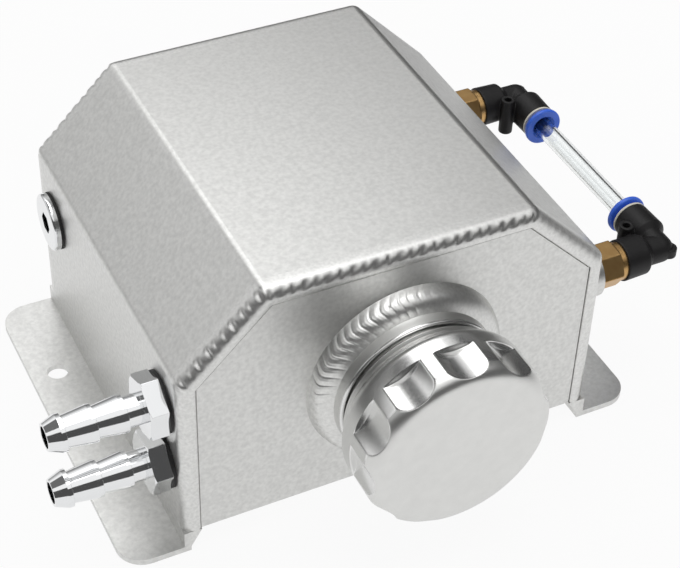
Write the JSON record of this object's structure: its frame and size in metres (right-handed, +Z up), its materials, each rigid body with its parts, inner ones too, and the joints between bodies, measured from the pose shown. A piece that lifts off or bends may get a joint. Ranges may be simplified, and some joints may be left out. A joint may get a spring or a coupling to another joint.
{
  "type": "coolant expansion tank",
  "caption": "Welded aluminium coolant tank on flanged feet, with a scalloped screw cap, barbed hose tails, a port plug and a clear level tube between push-in elbows.",
  "frame": {"origin": "centre of the mounting holes, on the underside of the feet", "axes": "+Z up from the mounting face, -Y out of the filler neck, -X out of the hose tails"},
  "size_m": [0.1989, 0.1489, 0.0875],
  "materials": {
    "sheet_aluminium": "bead blasted sheet",
    "weld_aluminium": "as welded, rippled",
    "machined_aluminium": "turned, satin",
    "chrome": "polished",
    "brass": "turned",
    "black_rubber": "matte",
    "black_plastic": "moulded",
    "blue_plastic": "moulded, glossy",
    "cream_plastic": "moulded",
    "clear_tube": "clear",
    "spring_steel": "bright"
  },
  "bodies": {
    "tank": {"body_shell": "sheet_aluminium", "filler_neck": "machined_aluminium", "floor_plate": "sheet_aluminium", "floor_weld": "weld_aluminium", "front_corner_weld": "weld_aluminium", "front_elbow_body": "black_plastic", "front_end_plate": "sheet_aluminium", "front_gauge_bung": "machined_aluminium", "front_gauge_stud": "brass", "front_grip_claw": "spring_steel", "front_retaining_ring": "cream_plastic", "front_swivel_seal": "black_rubber", "front_tube_seal": "black_rubber", "lower_barb_bung": "machined_aluminium", "lower_barb_washer": "black_rubber", "lower_hose_barb": "chrome", "neck_weld": "weld_aluminium", "port_bung": "machined_aluminium", "port_plug": "chrome", "port_washer": "black_rubber", "rear_corner_weld": "weld_aluminium", "rear_elbow_body": "black_plastic", "rear_end_plate": "sheet_aluminium", "rear_gauge_bung": "machined_aluminium", "rear_gauge_stud": "brass", "rear_grip_claw": "spring_steel", "rear_retaining_ring": "cream_plastic", "rear_swivel_seal": "black_rubber", "rear_tube_seal": "black_rubber", "sight_tube": "clear_tube", "upper_barb_bung": "machined_aluminium", "upper_barb_washer": "black_rubber", "upper_hose_barb": "chrome"},
    "cap_seal": {"cap_o_ring": "black_rubber"},
    "cap": {"filler_cap": "machined_aluminium"},
    "front_collar": {"front_release_collar": "blue_plastic"},
    "rear_collar": {"rear_release_collar": "blue_plastic"}
  },
  "joints": [
    {"name": "cap_lift", "type": "slide", "parent": "tank", "child": "cap_seal", "axis": [0, -1, 0], "range_m": [0, 0.08]},
    {"name": "cap_turn", "type": "hinge", "parent": "cap_seal", "child": "cap", "pos_m": [0.0017, -0.08, 0.04435], "axis": [0, -1, 0], "range_deg": [0, 1800]},
    {"name": "front_collar_press", "type": "slide", "parent": "tank", "child": "front_collar", "axis": [0, -1, 0], "range_m": [0, 0.001], "stiffness_N_per_m": 400},
    {"name": "rear_collar_press", "type": "slide", "parent": "tank", "child": "rear_collar", "axis": [0, 1, 0], "range_m": [0, 0.001], "stiffness_N_per_m": 400}
  ]
}
